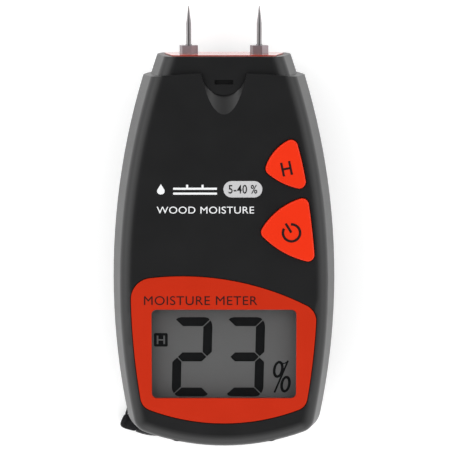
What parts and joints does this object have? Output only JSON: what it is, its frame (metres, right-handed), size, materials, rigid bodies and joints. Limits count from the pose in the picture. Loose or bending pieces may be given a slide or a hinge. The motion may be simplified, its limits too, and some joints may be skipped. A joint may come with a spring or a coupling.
{
  "type": "pin moisture meter",
  "caption": "Hand-held moisture meter with a curved casing, a digit display, push buttons, needle electrodes on a flat head end and a wrist loop.",
  "frame": {"origin": "middle of the box round the casing and needles, on the plane of the flat back", "axes": "+X to the reader's right, +Y from the display towards the needle tips, +Z out of the display face"},
  "size_m": [0.065, 0.1316, 0.0299],
  "materials": {
    "casing": "satin",
    "panel": "satin",
    "head_plate": "glossy",
    "button": "satin",
    "window": "glossy",
    "cell_glass": "glossy",
    "polariser": "glossy",
    "reflector": "matt",
    "frame_plastic": "matt",
    "contact_rubber": "matt",
    "board": "solder mask",
    "chip": "moulded",
    "chip_part": "matt",
    "resistor": "matt",
    "can": "bright",
    "trimmer": "moulded",
    "switch_body": "moulded",
    "plunger": "moulded",
    "steel": "zinc plated",
    "needle": "polished",
    "collar": "plated",
    "brass": "plated",
    "battery_can": "satin",
    "battery_core": "satin",
    "battery_contact": "bright",
    "snap": "moulded",
    "lead_red": "insulation",
    "lead_black": "insulation",
    "strap": "woven",
    "string": "twisted",
    "sleeve": "moulded"
  },
  "bodies": {
    "meter": {"battery_cells": "battery_core", "battery_jacket": "battery_can", "battery_lead_black": "lead_black", "battery_lead_red": "lead_red", "battery_terminals": "battery_contact", "bezel_panel": "panel", "board_screws": "steel", "calibration_trimmer": "trimmer", "case_screws": "steel", "chip_capacitors": "chip_part", "chip_resistors": "resistor", "circuit_board": "board", "contact_strip": "contact_rubber", "crystal": "can", "display_driver": "chip", "display_frame": "frame_plastic", "display_front_glass": "cell_glass", "display_lens": "window", "display_polariser": "polariser", "display_rear_glass": "cell_glass", "display_reflector": "reflector", "electrode_block": "head_plate", "electrode_lead_left": "lead_red", "electrode_lead_right": "lead_black", "electrode_sockets": "brass", "electrolytic_capacitor": "can", "front_shell": "casing", "hold_switch_body": "switch_body", "left_collar": "collar", "left_needle": "needle", "measuring_chip": "chip", "power_switch_body": "switch_body", "rear_shell": "casing", "right_collar": "collar", "right_needle": "needle", "snap_connector": "snap", "solder_tags": "brass", "strap_cord": "strap", "strap_sleeve": "sleeve", "strap_string": "string", "terminal_nuts": "brass", "voltage_regulator": "chip"},
    "battery_door": {"battery_door": "casing"},
    "hold_button": {"hold_button": "button"},
    "hold_plunger": {"hold_switch_plunger": "plunger"},
    "power_button": {"power_button": "button"},
    "power_plunger": {"power_switch_plunger": "plunger"}
  },
  "joints": [
    {"name": "battery_door_hinge", "type": "hinge", "parent": "meter", "child": "battery_door", "pos_m": [0, -0.052, 0], "axis": [-1, 0, 0], "range_deg": [0, 60]},
    {"name": "hold_button_press", "type": "slide", "parent": "meter", "child": "hold_button", "axis": [0, 0, -1], "range_m": [0, 0.0005], "stiffness_N_per_m": 1000, "springref_m": -0.0003},
    {"name": "hold_plunger_press", "type": "slide", "parent": "meter", "child": "hold_plunger", "axis": [0, 0, -1], "range_m": [0, 0.0005]},
    {"name": "power_button_press", "type": "slide", "parent": "meter", "child": "power_button", "axis": [0, 0, -1], "range_m": [0, 0.0005], "stiffness_N_per_m": 1000, "springref_m": -0.0003},
    {"name": "power_plunger_press", "type": "slide", "parent": "meter", "child": "power_plunger", "axis": [0, 0, -1], "range_m": [0, 0.0005]}
  ],
  "couplings": [
    {"joint": "hold_plunger_press", "follows": "hold_button_press", "ratio": 1},
    {"joint": "power_plunger_press", "follows": "power_button_press", "ratio": 1}
  ]
}
